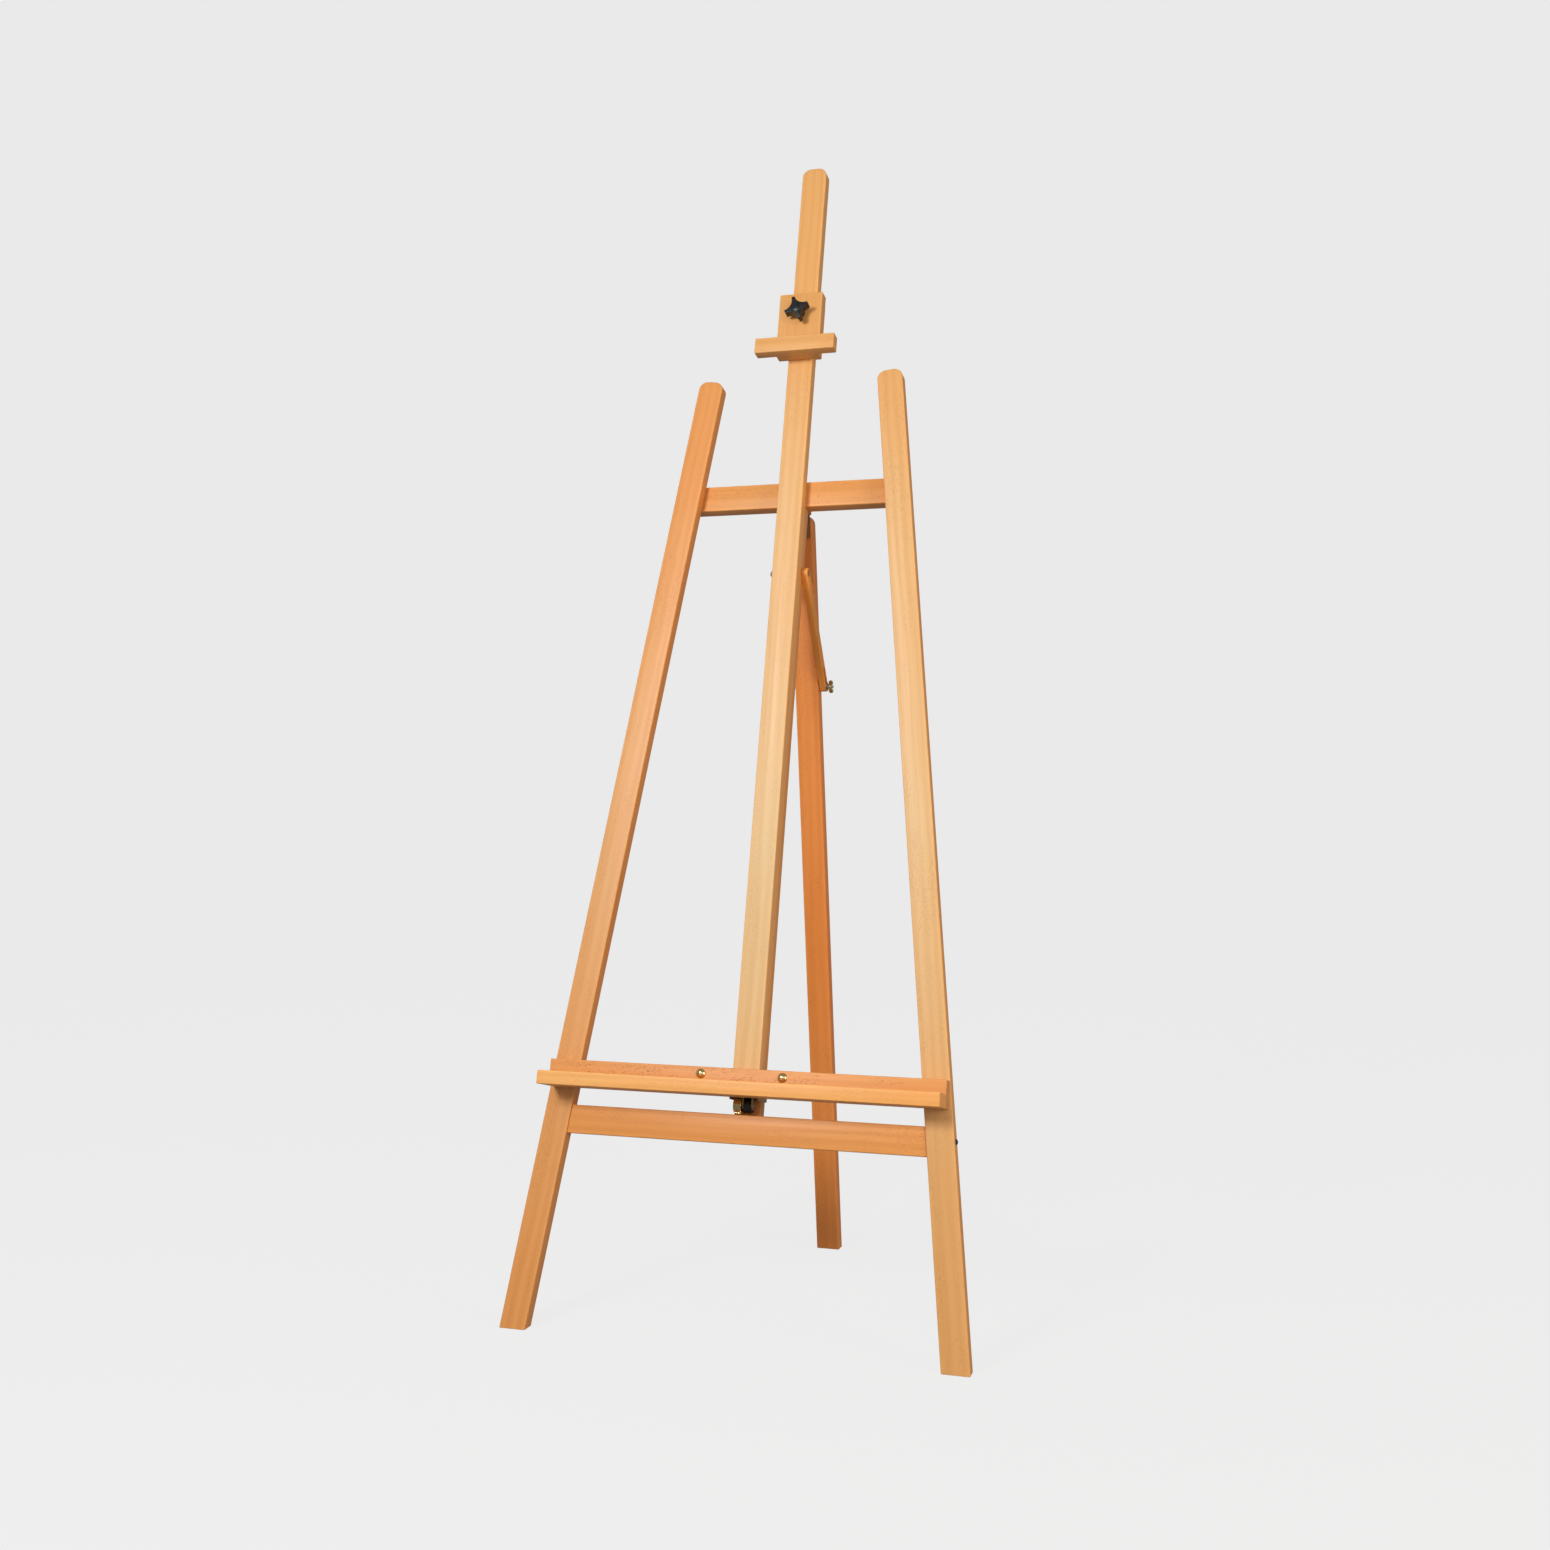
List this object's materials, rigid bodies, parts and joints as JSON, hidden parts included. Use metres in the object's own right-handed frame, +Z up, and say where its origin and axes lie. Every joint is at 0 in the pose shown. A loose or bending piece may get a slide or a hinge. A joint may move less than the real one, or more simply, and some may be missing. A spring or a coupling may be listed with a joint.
{
  "type": "artist easel",
  "caption": "Folding wooden studio easel with splayed legs, a sliding mast carrying a canvas tray, a clamped top holder and a hinged rear leg.",
  "frame": {"origin": "centre of the overall box at floor level", "axes": "+Z up, +X to the right of someone facing the easel's front, the front faces -Y"},
  "size_m": [0.6858, 0.5512, 1.7832],
  "materials": {
    "beech": "oiled beech",
    "dowel_wood": "raw beech",
    "brass": "polished",
    "steel": "zinc plated",
    "black_screw": "black",
    "black_plastic": "satin black",
    "pad_rubber": "matt black"
  },
  "bodies": {
    "frame": {"left_leg": "beech", "right_leg": "beech", "upper_crossbar": "beech", "lower_crossbar": "beech", "center_rail": "beech", "hinge_block": "beech", "upper_crossbar_screws": "steel", "lower_crossbar_screws": "black_screw", "lower_crossbar_dowels": "dowel_wood", "rail_screws": "steel", "rail_dowel": "dowel_wood", "hinge_block_dowels": "dowel_wood", "hinge_upper_leaf": "steel", "hinge_pin": "steel", "hinge_upper_screws": "steel", "mast_guide_stud": "steel", "stay_pivot_bolt": "steel", "stay_pivot_washer": "steel", "stay_pivot_nut": "steel"},
    "carriage": {"mast": "beech", "tray_back_board": "beech", "tray_ledge": "beech", "tray_ledge_screws": "steel", "mast_screws": "steel", "guide_collar": "steel", "collar_bolts": "brass", "collar_nuts": "steel", "cam_bracket": "steel", "cam_bracket_screws": "steel"},
    "clamp": {"clamp_cam": "black_plastic", "clamp_wheel": "brass", "cam_axle": "steel"},
    "holder": {"holder_plate": "beech", "holder_lip": "beech", "holder_left_cheek": "beech", "holder_right_cheek": "beech", "holder_back_bar": "beech", "holder_lip_screws": "steel", "holder_cheek_screws": "steel", "holder_insert": "brass"},
    "pad": {"pressure_pad": "pad_rubber"},
    "knob": {"star_knob": "black_plastic", "knob_stud": "steel"},
    "rear_leg": {"rear_leg": "beech", "hinge_lower_leaf": "steel", "hinge_lower_screws": "steel", "stay_clamp_bolt": "steel", "stay_spacer_washer": "steel"},
    "stay": {"stay": "beech"},
    "stay_washer": {"wing_nut_washer": "steel"},
    "wing_nut": {"wing_nut": "brass"}
  },
  "joints": [
    {"name": "mast_slide", "type": "slide", "parent": "frame", "child": "carriage", "axis": [0, 0.2462, 0.9692], "range_m": [0, 0.6]},
    {"name": "clamp_turn", "type": "hinge", "parent": "carriage", "child": "clamp", "pos_m": [0, -0.18608, 0.32239], "axis": [1, 0, 0], "range_deg": [0, 90]},
    {"name": "holder_slide", "type": "slide", "parent": "carriage", "child": "holder", "axis": [0, 0.2462, 0.9692], "range_m": [-0.19, 0.22]},
    {"name": "pad_slide", "type": "slide", "parent": "holder", "child": "pad", "axis": [0, -0.9692, 0.2462], "range_m": [0, 0.002]},
    {"name": "knob_turn", "type": "hinge", "parent": "pad", "child": "knob", "pos_m": [0, 0.08106, 1.52617], "axis": [0, -0.9692, 0.2462], "range_deg": [0, 576.1]},
    {"name": "rear_leg_fold", "type": "hinge", "parent": "frame", "child": "rear_leg", "pos_m": [0, 0.09075, 1.19871], "axis": [1, 0, 0], "range_deg": [-22, 0]},
    {"name": "stay_pivot", "type": "hinge", "parent": "frame", "child": "stay", "pos_m": [0.025, 0.03535, 1.10651], "axis": [1, 0, 0], "range_deg": [-30.8, 0]},
    {"name": "washer_slide", "type": "slide", "parent": "rear_leg", "child": "stay_washer", "axis": [1, 0, 0], "range_m": [0, 0.0016]},
    {"name": "wing_nut_turn", "type": "hinge", "parent": "stay_washer", "child": "wing_nut", "pos_m": [0.04, 0.13815, 0.9357], "axis": [1, 0, 0], "range_deg": [0, 720.1]}
  ],
  "couplings": [
    {"joint": "stay_pivot", "follows": "rear_leg_fold", "ratio": 1.3983},
    {"joint": "knob_turn", "follows": "pad_slide", "rad_per_m": 5026.5},
    {"joint": "wing_nut_turn", "follows": "washer_slide", "rad_per_m": 7854}
  ]
}
